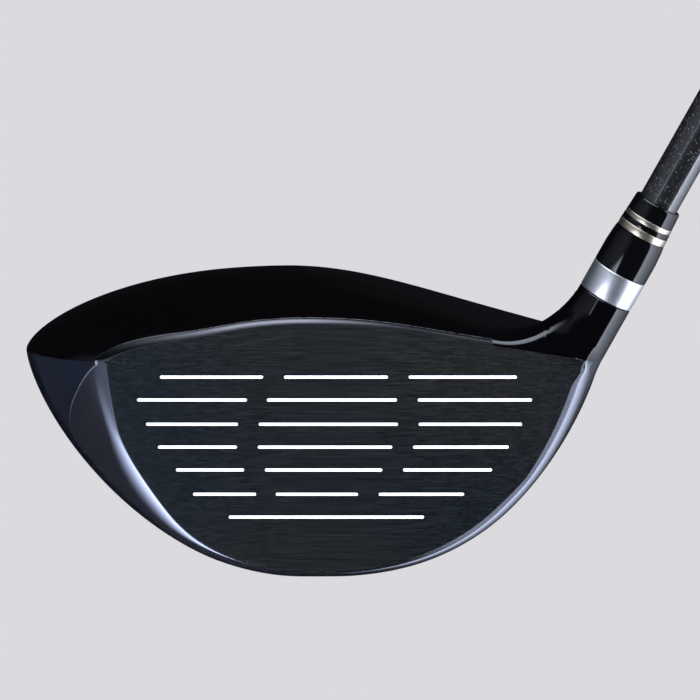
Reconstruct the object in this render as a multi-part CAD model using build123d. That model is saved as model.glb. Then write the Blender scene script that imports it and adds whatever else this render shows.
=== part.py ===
from build123d import *
import math
import os

# A right-handed golf driver standing at address, in millimetres.
# World frame: +X from toe to heel, +Y from the face to the rear of the head, +Z up.
# The origin is the point where the sole rests on the ground.
# Head frame: the same X, depth measured square behind the face plane, height measured up the face,
# both from the centre of the face. The head frame is the world frame leaned back by the loft.

# Driving dimensions
LOFT = 10.5
LIE = 61.0
FACE_RADIUS = 305.0
FACE_WALL = 3.0
FACE_EDGE_ROUND = 2.0
SHELL_WALL = 1.0
HEAD_DEPTH = 114.0
CROWN_RISE = 17.4
CROWN_HEEL_DROP = 0.5
SOLE_HEIGHT = -27.0
SOLE_LOW_DEPTH = 8.0
SKIRT_HEIGHT = 17.5
SKIRT_TILT = 0.08
CONTACT_X = -6.0
HOSEL_RADIUS = 5.95
TIP_RADIUS = 4.3
BUTT_RADIUS = 7.6
SHAFT_WALL = 0.9
BUTT_AT = 1086.0

# Half width of the blocks used to split the head
SPAN = 150.0
STAND = (Align.CENTER, Align.CENTER, Align.MIN)
HALVINGS = 40

# Plan outline of the head along its skirt line: x and depth, starting at the rear
PLAN = [
    (9, HEAD_DEPTH), (31, HEAD_DEPTH - 7), (46, 89), (54.3, 66), (56.3, 44), (56, 24), (55.3, 11.5), (51.8, 3),
    (41, -3), (24, -7.6), (2, -8.6), (-19, -6), (-34.5, -1), (-44.5, 2.2), (-51.5, 6), (-58.5, 13.5),
    (-63.5, 24), (-65.7, 39), (-63.8, 60), (-55.5, 82), (-39, 100), (-15, HEAD_DEPTH - 2),
]
PLAN_FRONT = -8.6
CROWN_CENTRE = (-11.0, 35.0)
CROWN_HEEL_SPAN = 68.0

# Share of the way up the crown and down the sole of each level curve
CROWN_LEVELS = [0.0, 0.06, 0.16, 0.3, 0.46, 0.62, 0.76, 0.88, 0.96, 0.993]
SOLE_LEVELS = [0.0, 0.12, 0.26, 0.42, 0.58, 0.72, 0.83, 0.91, 0.96, 0.985, 0.997]

# Score lines: height on the face, then the start and end of each line
SCORE_ROWS = {
    14.7: [(-36.8, -15.1), (-10.7, 11.1), (15.5, 38.2)],
    9.9: [(-41.6, -18.5), (-14.3, 13.0), (17.4, 41.4)],
    4.8: [(-39.7, -20.4), (-16.0, 13.2), (17.6, 39.3)],
    0.0: [(-37.2, -20.6), (-16.2, 12.0), (16.4, 36.5)],
    -4.8: [(-33.4, -19.1), (-14.7, 9.9), (14.3, 33.0)],
    -9.9: [(-29.8, -16.6), (-12.4, 4.8), (9.2, 27.1)],
    -14.7: [(-22.3, 18.7)],
}
SCORE_WIDTH = 0.7
SCORE_DEPTH = 0.3
SCORE_REACH = 10.0

# Face cup parting line, seen from the side: depth and height
CUP_PARTING = [(6.0, -20.0), (10.2, -8.8), (17.0, 2.0), (16.2, 4.2), (9.2, 11.9), (4.3, 18.6)]
TOPLINE_RETURN = 1.0
NECK_BORDER = [(33.0, 21.4), (66.0, 16.1)]

# Stations along the hosel axis, up from the point the axis is located by
HOSEL_POINT = (57.96, 33.4)
HOSEL_SETBACK = 14.0
NECK_TOP = -2.1
COLLAR_TOP = 4.2
BASE_TOP = 13.2
WIDE_RING_TOP = 14.8
SPACER_TOP = 16.0
NARROW_RING_TOP = 17.1
CAP_TOP = 20.8
BASE_TAPER = [(HOSEL_RADIUS, 8.9), (5.88, 9.8), (5.8, 11.0), (5.68, 12.3)]
RING_RADII = [5.5, 5.42, 5.35]
CAP_TAPER = [(5.27, 0.0), (5.13, 3.2), (5.0, 3.6)]
CAP_EDGE = 4.8
BORE_BOTTOM = -34.0
TUBE_BOTTOM = -38.0
BORE_RADIUS = 4.4
SPIGOT_RADIUS = 4.8
SPIGOT_BORE = 4.35
PLUG_THICKNESS = 1.5
TIP_BORE = 2.2
TIP_WEIGHT_LENGTH = 12.0
TAPER_START = 90.0
NECK_CHAMFER = 0.3
TUBE_RADIUS = 5.7
NECK_FLARE_BACK = 0.7

# Neck on the head side: station along the hosel axis and reach from it
NECK_FLARE = [
    (-3.0, 5.95), (-7.0, 6.1), (-9.9, 6.7), (-12.0, 8.3),
    (-13.4, 10.4), (-14.6, 13.0), (-16.0, 16.0), (-24.0, 18.0),
]

# Sole weight: port position in the head frame and its parts
PORT_X = 2.0
PORT_DEPTH = 86.0
PORT_HEIGHT = 1.7
PORT_SLOPE = 32.0
PORT_FLOOR = 6.6
SLUG_RADIUS = 10.0
SLUG_THICKNESS = 5.0
GASKET_THICKNESS = 0.8
SCREW_RADIUS = 2.5
SCREW_LENGTH = 14.0
SCREW_HEAD_RADIUS = 4.5
SCREW_HEAD_HEIGHT = 3.0
RUNNING = 0.05
BOSS_WALL = 2.5
BOSS_BACK = 6.0
CLIP_RADIUS = 4.0
CLIP_THICKNESS = 0.6
CLIP_BITE = 0.5
CLIP_GAP = 3.0
CLIP_RELIEF = 0.8
LOBE_RADIUS = 1.9
LOBE_SIZE = 0.55
LOBE_DEPTH = 2.0

# Inner ribs of the sole
RIB_POSITIONS = [-32.0, 26.0]
RIB_DEPTH = 52.0
RIB_LENGTH = 64.0
RIB_THICKNESS = 0.9
RIB_HEIGHT = 5.0

# Tuning glue inside the sole: centre X, depth, height, then half sizes
HOT_MELT = (-22.0, 40.0, -19.0, 15.0, 12.0, 5.0)

# Grip
GRIP_LENGTH = 268.0
GRIP_CAP = 4.0
GRIP_BUTT_RADIUS = 13.4
GRIP_MOUTH_RADIUS = 8.6
GRIP_TAPER = [(10.4, 120.0), (12.4, 30.0), (GRIP_BUTT_RADIUS, 8.0), (GRIP_BUTT_RADIUS, 2.4), (12.7, 0.7)]
TAPE_THICKNESS = 0.2
VENT_RADIUS = 1.5


def inset_plan(inset):
    """Plan points moved square inward from the outline."""
    moved = []
    for index, point in enumerate(PLAN):
        before = PLAN[index - 1]
        after = PLAN[(index + 1) % len(PLAN)]
        along = (after[0] - before[0], after[1] - before[1])
        length = math.hypot(*along)
        moved.append((point[0] - along[1] / length * -inset, point[1] + along[0] / length * -inset))
    return moved


def skirt_height(depth):
    return SKIRT_HEIGHT + SKIRT_TILT * depth


def heel_drop(x):
    """Share of the full crown rise left at this distance toward the heel."""
    t = min(max((x - CROWN_CENTRE[0]) / CROWN_HEEL_SPAN, 0.0), 1.0)
    return 1.0 - CROWN_HEEL_DROP * t * t * (3.0 - 2.0 * t)


def crown_slice(height, inset):
    """Closed level curve of the crown, a given height over the skirt plane."""
    points = []
    for x, depth in inset_plan(inset):
        low = 0.0
        high = 1.0
        for _ in range(HALVINGS):
            share = (low + high) / 2
            at_x = CROWN_CENTRE[0] + share * (x - CROWN_CENTRE[0])
            level = height / ((CROWN_RISE - inset) * heel_drop(at_x))
            if share**2 + level**1.5 < 1.0:
                low = share
            else:
                high = share
        at_x = CROWN_CENTRE[0] + high * (x - CROWN_CENTRE[0])
        at_depth = CROWN_CENTRE[1] + high * (depth - CROWN_CENTRE[1])
        points.append((at_x, at_depth, skirt_height(at_depth) + height))
    return Wire([Spline(*points, periodic=True)])


def sole_point(x, depth, drop, inset):
    """Point of the sole under a plan point, the given share of the way down."""
    toe = (1.0 - drop**1.42) ** (1 / 1.95)
    heel = (1.0 - drop**1.27) ** (1 / 2.65)
    at_x = CONTACT_X + (x - CONTACT_X) * (toe if x < CONTACT_X else heel)
    edge = PLAN_FRONT + inset - 2.5 * drop
    front = edge + (SOLE_LOW_DEPTH - edge) * (1.0 - math.sqrt(1.0 - drop**22))
    rear = SOLE_LOW_DEPTH + (HEAD_DEPTH - inset - SOLE_LOW_DEPTH) * (1.0 - drop**1.4) ** (1 / 1.5)
    span = (depth - PLAN_FRONT - inset) / (HEAD_DEPTH - PLAN_FRONT - 2 * inset)
    at_depth = front + span * (rear - front)
    height = drop * (skirt_height(SOLE_LOW_DEPTH) - SOLE_HEIGHT - inset)
    return (at_x, at_depth, skirt_height(at_depth) - height)


def sole_slice(drop, inset):
    return Wire([Spline(*[sole_point(x, depth, drop, inset) for x, depth in inset_plan(inset)], periodic=True)])


def hull(inset, face_wall):
    """Whole head as one solid, moved inward by the inset and cut by the bulged face."""
    rise = (CROWN_RISE - inset) * heel_drop(CROWN_CENTRE[0])
    crown = Solid.make_loft([crown_slice(level * rise, inset) for level in CROWN_LEVELS])
    sole = Solid.make_loft([sole_slice(drop, inset) for drop in SOLE_LEVELS])
    ball = Pos(0, FACE_RADIUS, 0) * Sphere(FACE_RADIUS - face_wall)
    return (Part() + crown + sole) & ball


def face_edge_round(head):
    """Rounds the edge where the bulged face meets the crown and the sole."""
    rim = [edge for edge in head.edges() if edge.length > 50 and edge.bounding_box().max.Y < CUP_PARTING[0][0]]
    return head.solids()[0].fillet(FACE_EDGE_ROUND, rim)


def side_prism(points):
    """Region of the head frame drawn in depth and height, running through all X."""
    outline = Polyline(*[(0, depth, height) for depth, height in points], close=True)
    return Pos(-SPAN, 0, 0) * extrude(make_face(outline), amount=2 * SPAN, dir=(1, 0, 0))


def front_prism(points, near, far):
    """Region of the head frame drawn in X and height, between two depths."""
    outline = Polyline(*[(x, near, height) for x, height in points], close=True)
    return extrude(make_face(outline), amount=far - near, dir=(0, 1, 0))


def above_skirt():
    low = (-SPAN, skirt_height(-SPAN))
    high = (SPAN, skirt_height(SPAN))
    return side_prism([low, high, (SPAN, SPAN), (-SPAN, SPAN)])


def above_neck_border():
    start, end = NECK_BORDER
    return front_prism([start, end, (end[0], SPAN), (start[0], SPAN)], -SPAN, SPAN)


def hosel_frame():
    """Places parts drawn along +Z on the hosel axis, in the world frame. Local +X points away from the head."""
    lie = math.radians(LIE)
    x, height = HOSEL_POINT
    depth = (HOSEL_SETBACK - height * math.sin(math.radians(LOFT))) / math.cos(math.radians(LOFT))
    origin = head_frame() * Pos(x, depth, height)
    axis = (math.cos(lie), 0, math.sin(lie))
    out = (math.sin(lie), 0, -math.cos(lie))
    return Location(Plane(origin=origin.position, x_dir=out, z_dir=axis))


def sole_low_point():
    """Depth and height in the head frame of the lowest point of the sole at address."""
    loft = math.radians(LOFT)
    best = None
    for step in range(700, 1000):
        point = sole_point(CONTACT_X, HEAD_DEPTH, step / 1000, 0.0)
        world = point[2] * math.cos(loft) - point[1] * math.sin(loft)
        if best is None or world < best[0]:
            best = (world, point[1], point[2])
    return best[1], best[2]


def head_frame():
    """Places parts drawn in the head frame into the world frame."""
    depth, height = sole_low_point()
    lean = Rot(-LOFT, 0, 0)
    contact = lean * Pos(CONTACT_X, depth, height)
    return Pos(*(-contact.position)) * lean


def tube(radius, bore, low, high):
    """Plain ring or tube along +Z."""
    body = Pos(0, 0, low) * Cylinder(radius, high - low, align=STAND)
    if bore:
        body -= Pos(0, 0, low - 1) * Cylinder(bore, high - low + 2, align=STAND)
    return body


def turned(profile):
    """Turned part from a closed profile of radius and height."""
    outline = Polyline(*[(radius, 0, height) for radius, height in profile], close=True)
    return revolve(make_face(outline), axis=Axis.Z)


def score_lines():
    """Paint fill of the score lines, each a round-ended slot that follows the face."""
    ball = Pos(0, FACE_RADIUS, 0)
    skin = ball * Sphere(FACE_RADIUS) - ball * Sphere(FACE_RADIUS - SCORE_DEPTH)
    fills = []
    for height, spans in SCORE_ROWS.items():
        for start, end in spans:
            slot = SlotOverall(end - start, SCORE_WIDTH)
            plane = Plane(origin=((start + end) / 2, 0, height), x_dir=(1, 0, 0), z_dir=(0, 1, 0))
            fills.append(extrude(plane * slot, amount=SCORE_REACH) & skin)
    return fills


def neck_solid():
    """Neck blank on the hosel axis. It flares toward the head but stays straight on the heel side."""
    rings = []
    for station, reach in NECK_FLARE:
        radius = (reach + HOSEL_RADIUS) / 2
        shift = radius - HOSEL_RADIUS
        rings.append(Pos(-shift, NECK_FLARE_BACK * shift, station) * Wire.make_circle(radius))
    flare = Solid.make_loft(rings)
    top = tube(HOSEL_RADIUS, 0, NECK_FLARE[0][0], NECK_TOP - NECK_CHAMFER)
    crown = Pos(0, 0, NECK_TOP - NECK_CHAMFER) * Cone(
        HOSEL_RADIUS, HOSEL_RADIUS - NECK_CHAMFER, NECK_CHAMFER, align=STAND
    )
    return flare + top + crown


def port_frame():
    """Sole weight port, in the head frame. Local +Z points out of the sole."""
    slope = math.radians(PORT_SLOPE)
    out = (0, math.sin(slope), -math.cos(slope))
    return Location(Plane(origin=(PORT_X, PORT_DEPTH, PORT_HEIGHT), x_dir=(1, 0, 0), z_dir=out))


def weight_boss(outer):
    """Solid pad behind the weight port, cut to the outside of the head."""
    pad = tube(SLUG_RADIUS + BOSS_WALL, 0, -PORT_FLOOR - BOSS_BACK, 12)
    return (port_frame() * pad) & outer


def weight_cavity():
    """Recess and screw hole of the weight port."""
    recess = tube(SLUG_RADIUS + RUNNING, 0, -PORT_FLOOR, 30)
    hole = tube(SCREW_RADIUS + RUNNING, 0, -PORT_FLOOR - BOSS_BACK - 1, 0)
    relief = tube(CLIP_RADIUS + 0.5, 0, -PORT_FLOOR - CLIP_RELIEF, 0)
    return port_frame() * (recess + hole + relief)


def sole_ribs(inner):
    """Low stiffening ribs that run from front to rear inside the sole."""
    lifted = Pos(0, 0, RIB_HEIGHT) * inner
    ribs = []
    for x in RIB_POSITIONS:
        web = Pos(x, RIB_DEPTH, 0) * Box(RIB_THICKNESS, RIB_LENGTH, SPAN)
        ribs += ((web & inner) - lifted).solids()
    return [rib for rib in ribs if rib.center().Z < skirt_height(rib.center().Y)]


def weight_parts():
    """Slug, gasket, captive screw and its clip, in the port's frame."""
    seat = -PORT_FLOOR + GASKET_THICKNESS
    top = seat + SLUG_THICKNESS
    head_seat = top - SCREW_HEAD_HEIGHT - 0.2
    slug = tube(SLUG_RADIUS, 0, seat, top)
    slug = chamfer(slug.edges().group_by(Axis.Z)[-1], 0.5)
    slug -= tube(SCREW_RADIUS + RUNNING, 0, seat - 1, top + 1)
    slug -= tube(SCREW_HEAD_RADIUS + RUNNING, 0, head_seat, top + 1)
    gasket = tube(SLUG_RADIUS - 0.3, CLIP_RADIUS + 0.5, -PORT_FLOOR, seat)
    head = tube(SCREW_HEAD_RADIUS, 0, head_seat, head_seat + SCREW_HEAD_HEIGHT)
    head = chamfer(head.edges().group_by(Axis.Z)[-1], 0.4)
    shank = tube(SCREW_RADIUS, 0, head_seat + SCREW_HEAD_HEIGHT - SCREW_LENGTH, head_seat)
    groove = tube(SCREW_RADIUS + 1, SCREW_RADIUS - CLIP_BITE, seat - CLIP_THICKNESS - 0.1, seat - 0.1)
    screw = head + shank - groove - lobed_recess(head_seat + SCREW_HEAD_HEIGHT)
    clip = tube(CLIP_RADIUS, SCREW_RADIUS - CLIP_BITE, seat - CLIP_THICKNESS - 0.1, seat - 0.1)
    clip -= Pos(CLIP_RADIUS, 0, seat) * Box(2 * CLIP_RADIUS, CLIP_GAP, 4)
    return {"weight_slug": slug, "weight_gasket": gasket, "weight_screw": screw, "screw_clip": clip}


def lobed_recess(top):
    """Six-lobed drive recess sunk from the given height."""
    core = Circle(LOBE_RADIUS)
    lobes = [place * Circle(LOBE_SIZE) for place in PolarLocations(LOBE_RADIUS, 6)]
    return Pos(0, 0, top - LOBE_DEPTH) * extrude(core + lobes, amount=LOBE_DEPTH + 1)


def hosel_parts():
    """Collar, ferrule stack, glue sleeve and bore plug, in the hosel's frame."""
    base = turned(
        [
            (SPIGOT_BORE, COLLAR_TOP), (HOSEL_RADIUS, COLLAR_TOP), *BASE_TAPER,
            (RING_RADII[0], BASE_TOP), (SPIGOT_RADIUS, BASE_TOP),
            (SPIGOT_RADIUS, NARROW_RING_TOP), (SPIGOT_BORE, NARROW_RING_TOP),
        ]
    )
    collar = tube(HOSEL_RADIUS, SPIGOT_BORE, NECK_TOP, COLLAR_TOP)
    collar = chamfer(outside_edges(collar, HOSEL_RADIUS), NECK_CHAMFER)
    wide = tube(RING_RADII[0], SPIGOT_RADIUS, BASE_TOP, WIDE_RING_TOP)
    spacer = tube(RING_RADII[1], SPIGOT_RADIUS, WIDE_RING_TOP, SPACER_TOP)
    narrow = tube(RING_RADII[2], SPIGOT_RADIUS, SPACER_TOP, NARROW_RING_TOP)
    cap = turned(
        [
            (SPIGOT_BORE, NARROW_RING_TOP), *[(radius, NARROW_RING_TOP + up) for radius, up in CAP_TAPER],
            (CAP_EDGE, CAP_TOP), (SPIGOT_BORE, CAP_TOP),
        ]
    )
    glue = tube(BORE_RADIUS, TIP_RADIUS, BORE_BOTTOM + PLUG_THICKNESS, NECK_TOP)
    plug = tube(BORE_RADIUS, 0, BORE_BOTTOM, BORE_BOTTOM + PLUG_THICKNESS)
    return {
        "hosel_collar": collar,
        "ferrule_base": base,
        "trim_ring_wide": wide,
        "ferrule_spacer": spacer,
        "trim_ring_narrow": narrow,
        "ferrule_cap": cap,
        "hosel_epoxy": glue,
        "hosel_plug": plug,
    }


def outside_edges(piece, radius):
    rings = piece.edges().filter_by(GeomType.CIRCLE)
    return [edge for edge in rings if abs(edge.radius - radius) < 0.01]


def shaft_radius(station):
    """Outside radius of the shaft, parallel at the tip and then a straight taper to the butt."""
    share = max(station - TAPER_START, 0) / (BUTT_AT - GRIP_CAP - TAPER_START)
    return TIP_RADIUS + share * (BUTT_RADIUS - TIP_RADIUS)


def shaft_parts():
    """Shaft, tip weight, grip tape and grip, in the hosel's frame."""
    tip = BORE_BOTTOM + PLUG_THICKNESS
    butt = BUTT_AT - GRIP_CAP
    mouth = BUTT_AT - GRIP_LENGTH
    shaft = turned(
        [
            (TIP_BORE, tip), (TIP_RADIUS, tip), (TIP_RADIUS, TAPER_START), (BUTT_RADIUS, butt),
            (BUTT_RADIUS - SHAFT_WALL, butt), (TIP_BORE, TAPER_START),
        ]
    )
    weight = tube(TIP_BORE, 0, tip, tip + TIP_WEIGHT_LENGTH)
    at_mouth = shaft_radius(mouth)
    tape = turned(
        [
            (at_mouth, mouth), (at_mouth + TAPE_THICKNESS, mouth),
            (BUTT_RADIUS + TAPE_THICKNESS, butt), (BUTT_RADIUS, butt),
        ]
    )
    grip = turned(
        [
            (at_mouth + TAPE_THICKNESS, mouth), (GRIP_MOUTH_RADIUS - 0.6, mouth),
            (GRIP_MOUTH_RADIUS, mouth + 0.8), *[(radius, BUTT_AT - below) for radius, below in GRIP_TAPER],
            (GRIP_BUTT_RADIUS - 2.4, BUTT_AT),
            (VENT_RADIUS, BUTT_AT), (VENT_RADIUS, butt), (BUTT_RADIUS + TAPE_THICKNESS, butt),
        ]
    )
    return {"shaft": shaft, "tip_weight": weight, "grip_tape": tape, "grip": grip}


def largest(piece):
    """Drops the slivers left inside the wall where three borders meet."""
    return max(piece.solids(), key=lambda solid: solid.volume)


def head_parts(to_head):
    """Face cup, crown, body and neck, in the head frame."""
    outer = face_edge_round(hull(0.0, 0.0))
    inner = hull(SHELL_WALL, FACE_WALL)
    stem = to_head * tube(TUBE_RADIUS, 0, TUBE_BOTTOM, NECK_FLARE[0][0] + 0.5)
    shell = outer - inner - stem
    border = above_neck_border()
    roof = above_skirt()
    parting = side_prism([(-SPAN, -SPAN), (CUP_PARTING[0][0], -SPAN), *CUP_PARTING, (-SPAN, CUP_PARTING[-1][1])])
    lip = side_prism([(-SPAN, 0), (SPAN, 0), (SPAN, SPAN), (-SPAN, SPAN)])
    lip -= Pos(0, FACE_RADIUS, 0) * Sphere(FACE_RADIUS - TOPLINE_RETURN)
    cup = (shell & (parting + lip)) - border
    neck = (to_head * neck_solid()) & border
    crown = largest((shell & roof) - cup - neck)
    body = largest((shell - roof) - cup)
    body = body + weight_boss(outer) - weight_cavity()
    body += sole_ribs(inner)
    neck = neck + stem - to_head * tube(BORE_RADIUS, 0, BORE_BOTTOM, NECK_TOP + 5)
    fills = score_lines()
    for fill in fills:
        cup -= fill
    return {
        "face_cup": cup,
        "score_line_fill": Compound([fill.solids()[0] for fill in fills]),
        "crown_shell": crown,
        "body_shell": body,
        "hosel_neck": neck,
        "hot_melt_pad": hot_melt(inner),
    }


def hot_melt(inner):
    """Blob of tuning glue that rests on the inside of the sole."""
    x, depth, height, wide, deep, high = HOT_MELT
    return (Pos(x, depth, height) * scale(Sphere(1), (wide, deep, high))) & inner


def main():
    os.makedirs("parts", exist_ok=True)
    at_head = head_frame()
    at_hosel = hosel_frame()
    nodes = {}
    for name, piece in head_parts(at_head.inverse() * at_hosel).items():
        nodes[name] = at_head * piece
    for name, piece in {**hosel_parts(), **shaft_parts()}.items():
        nodes[name] = at_hosel * piece
    for name, piece in weight_parts().items():
        nodes[name] = at_head * port_frame() * piece
    for name, piece in nodes.items():
        export_step(piece, f"parts/{name}.step")


main()
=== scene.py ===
import math

import bpy
import numpy as np
from mathutils import Matrix, Vector


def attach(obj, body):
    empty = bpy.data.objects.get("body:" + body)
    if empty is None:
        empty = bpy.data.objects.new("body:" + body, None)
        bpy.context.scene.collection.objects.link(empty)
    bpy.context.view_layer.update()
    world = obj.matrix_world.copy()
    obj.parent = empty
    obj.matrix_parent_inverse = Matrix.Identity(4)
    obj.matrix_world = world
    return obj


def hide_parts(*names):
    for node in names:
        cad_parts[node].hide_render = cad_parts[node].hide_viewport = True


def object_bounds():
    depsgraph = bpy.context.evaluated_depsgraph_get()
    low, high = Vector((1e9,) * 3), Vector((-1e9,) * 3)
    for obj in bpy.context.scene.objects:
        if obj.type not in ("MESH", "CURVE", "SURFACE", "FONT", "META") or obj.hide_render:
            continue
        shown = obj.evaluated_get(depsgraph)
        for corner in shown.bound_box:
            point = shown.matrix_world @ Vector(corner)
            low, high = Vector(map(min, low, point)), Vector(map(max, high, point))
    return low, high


# A golf driver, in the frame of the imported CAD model.
# Lengths are millimetres unless a name or comment says otherwise.
# Head frame: X from toe to heel, depth square behind the face plane, height up the face.
# Hosel frame: Z up the shaft, X away from the head, Y to the rear.
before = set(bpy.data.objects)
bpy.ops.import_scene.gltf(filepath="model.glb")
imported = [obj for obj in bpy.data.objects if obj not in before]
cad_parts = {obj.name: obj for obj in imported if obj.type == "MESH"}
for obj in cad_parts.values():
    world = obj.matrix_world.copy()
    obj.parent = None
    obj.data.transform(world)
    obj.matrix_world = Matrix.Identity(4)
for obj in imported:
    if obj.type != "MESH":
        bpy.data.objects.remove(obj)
cad_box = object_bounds()
MM = 0.001

# Head shape, as (x, depth) for the plan.
LOFT = math.radians(10.5)
LIE = math.radians(61.0)
FACE_RADIUS = 305.0
HEAD_DEPTH = 114.0
CROWN_RISE = 17.4
CROWN_HEEL_DROP = 0.5
SOLE_HEIGHT = -27.0
SOLE_LOW_DEPTH = 8.0
SOLE_TOE_POWERS = (1.42, 1.95)
SOLE_HEEL_POWERS = (1.27, 2.65)
SOLE_REAR_POWERS = (1.4, 1.5)
SKIRT_HEIGHT = 17.5
SKIRT_TILT = 0.08
CONTACT_X = -6.0
HOSEL_RADIUS = 5.95
CROWN_CENTRE = (-11.0, 35.0)
SOLE_CENTRE = (CONTACT_X, 40.0)
PLAN = [
    (9, HEAD_DEPTH), (31, HEAD_DEPTH - 7), (46, 89), (54.3, 66), (56.3, 44), (56, 24),
    (55.3, 11.5), (51.8, 3), (41, -3), (24, -7.6), (2, -8.6), (-19, -6),
    (-34.5, -1), (-44.5, 2.2), (-51.5, 6), (-58.5, 13.5), (-63.5, 24), (-65.7, 39),
    (-63.8, 60), (-55.5, 82), (-39, 100), (-15, HEAD_DEPTH - 2),
]
PLAN_FRONT = -8.6
HOSEL_POINT = (57.96, 33.4)
HOSEL_SETBACK = 14.0
NECK_TOP = -2.1
NECK_FILLET_HEEL = 1.0
NECK_FILLET_CROWN = 11.0

# Borders between pieces: the cup's as (depth, height), the neck's as (x, height).
CUP_PARTING = [(6.0, -60.0), (6.0, -20.0), (10.2, -8.8), (17.0, 2.0), (16.2, 4.2), (9.2, 11.9), (4.3, 18.6)]
TOPLINE_RETURN = 0.6
NECK_BORDER = [(33.0, 21.4), (55.0, 17.87)]
NECK_RADIUS = 19.0
NECK_CUT = -4.0
NECK_CUT_REACH = 12
SEAM = 0.28
CUP_GROOVE = 0.14
SKIRT_GROOVE = 0.05
ON_BORDER = 0.08

# Score lines: the height of each row, then the start and end of its lines in x.
SCORE_ROWS = {
    14.7: [(-36.8, -15.1), (-10.7, 11.1), (15.5, 38.2)],
    9.9: [(-41.6, -18.5), (-14.3, 13.0), (17.4, 41.4)],
    4.8: [(-39.7, -20.4), (-16.0, 13.2), (17.6, 39.3)],
    0.0: [(-37.2, -20.6), (-16.2, 12.0), (16.4, 36.5)],
    -4.8: [(-33.4, -19.1), (-14.7, 9.9), (14.3, 33.0)],
    -9.9: [(-29.8, -16.6), (-12.4, 4.8), (9.2, 27.1)],
    -14.7: [(-22.3, 18.7)],
}
SCORE_WIDTH = 0.6

# Head mesh, its walls, and where its normals are eased beside the neck's border.
WALL = 1.0
THIN_WALL = 0.8
FULL_SPACING = 1.0
BOWL_CENTRE = (-3.0, 42.0, 6.0)
RAY_LENGTH = 120.0
ROUGH_NECK_LENGTH = 26.0
CALM_REACH = (3.6, 4.8)
CALM_START = (44.0, 47.0)
CALM_END = (54.2, 55.0)
CALM_HEIGHT = 21.5
CALM_DEPTH = 6

# Port of the sole weight.
PORT_POINT = np.array([2.0, 86.0, 1.7])
PORT_SLOPE = math.radians(32.0)
PORT_AXIS = np.array([0, math.sin(PORT_SLOPE), -math.cos(PORT_SLOPE)])
PORT_RADIUS = 10.05
PORT_FLOOR = 6.6
PORT_FLOOR_RADIUS = 10.6
PORT_HOLE = 2.6

# Turned parts: heights run along the hosel axis, and sides are (radius, height).
LATHE_STEPS = 96
SHARP_CORNER = math.radians(35)
NECK_BORE = 4.4
SHAFT_BORE = 4.35
SPIGOT_RADIUS = 4.8
COLLAR_TOP = 4.2
FERRULE_TOP = 13.2
WIDE_RING_TOP = 14.8
SPACER_TOP = 16.0
NARROW_RING_TOP = 17.1
CAP_TOP = 20.8
FERRULE_SIDE = [
    (5.85, COLLAR_TOP), (5.93, 4.28), (5.95, 4.4), (5.95, 8.2), (5.945, 8.9), (5.915, 9.4), (5.88, 9.8),
    (5.84, 10.4), (5.8, 11.0), (5.745, 11.7), (5.68, 12.3), (5.6, 12.8), (5.5, 13.15), (5.42, FERRULE_TOP),
]
CAP_SIDE = [
    (5.2, NARROW_RING_TOP), (5.27, 17.2), (5.25, 17.9), (5.21, 18.7), (5.17, 19.5), (5.13, 20.3),
    (5.08, 20.55), (5.0, 20.7), (4.88, 20.78), (4.7, CAP_TOP),
]
SHAFT_START = -32.5
SHAFT_TAPER_START = 90.0
SHAFT_END = 1082.0
SHAFT_TIP_RADIUS = 4.3
SHAFT_TIP_BORE = 2.2
SHAFT_BUTT_RADIUS = 7.6
SHAFT_BUTT_BORE = 6.7
BUTT = 1086.0
GRIP_LENGTH = 268
GRIP_SIDE = [  # Radius and distance below the butt.
    (8.52, 267.6), (8.6, 267.2), (9.5, 194), (10.4, 120), (11.4, 75), (12.4, 30), (13.0, 17), (13.38, 8),
    (13.4, 2.4), (13.2, 1.4), (12.7, 0.7), (11.9, 0.2),
]
VENT_RADIUS = 1.5


# ---- head shape ----------------------------------------------------

def lerp_smooth(low, high, value):
    share = np.clip((value - low) / (high - low), 0, 1)
    return share * share * (3 - 2 * share)


class Outline:
    """Plan outline as a smooth radius over the angle about a centre."""

    def __init__(self, centre):
        offsets = np.array(PLAN, float) - centre
        angles = np.arctan2(offsets[:, 1], offsets[:, 0])
        order = np.argsort(angles)
        self.centre = centre
        self.angles = angles[order]
        self.radii = np.hypot(offsets[:, 0], offsets[:, 1])[order]
        self.steps = np.diff(np.append(self.angles, self.angles[0] + 2 * math.pi))
        self.bends = self.solve()

    def solve(self):
        """Second derivatives of the periodic cubic spline."""
        count = len(self.angles)
        system = np.zeros((count, count))
        slopes = (np.roll(self.radii, -1) - self.radii) / self.steps
        for i in range(count):
            system[i, i - 1] += self.steps[i - 1]
            system[i, i] += 2 * (self.steps[i - 1] + self.steps[i])
            system[i, (i + 1) % count] += self.steps[i]
        return np.linalg.solve(system, 6 * (slopes - np.roll(slopes, 1)))

    def radius(self, angle):
        angle = (angle - self.angles[0]) % (2 * math.pi) + self.angles[0]
        i = np.clip(np.searchsorted(self.angles, angle, side="right") - 1, 0, len(self.angles) - 1)
        j = (i + 1) % len(self.angles)
        step = self.steps[i]
        after = angle - self.angles[i]
        before = step - after
        cubic = (self.bends[i] * before**3 + self.bends[j] * after**3) / (6 * step)
        start = (self.radii[i] / step - self.bends[i] * step / 6) * before
        end = (self.radii[j] / step - self.bends[j] * step / 6) * after
        return cubic + start + end

    def share(self, x, depth):
        """1 on the outline, less inside it."""
        x = x - self.centre[0]
        depth = depth - self.centre[1]
        return np.hypot(x, depth) / self.radius(np.arctan2(depth, x))


CROWN_OUTLINE = Outline(CROWN_CENTRE)
SOLE_OUTLINE = Outline(SOLE_CENTRE)


def skirt_height(depth):
    return SKIRT_HEIGHT + SKIRT_TILT * depth


def crown_field(x, depth, over):
    rise = CROWN_RISE * (1 - CROWN_HEEL_DROP * lerp_smooth(-11.0, 57.0, x))
    return CROWN_OUTLINE.share(x, depth) ** 2 + (np.maximum(over, 0) / rise) ** 1.5 - 1


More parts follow.
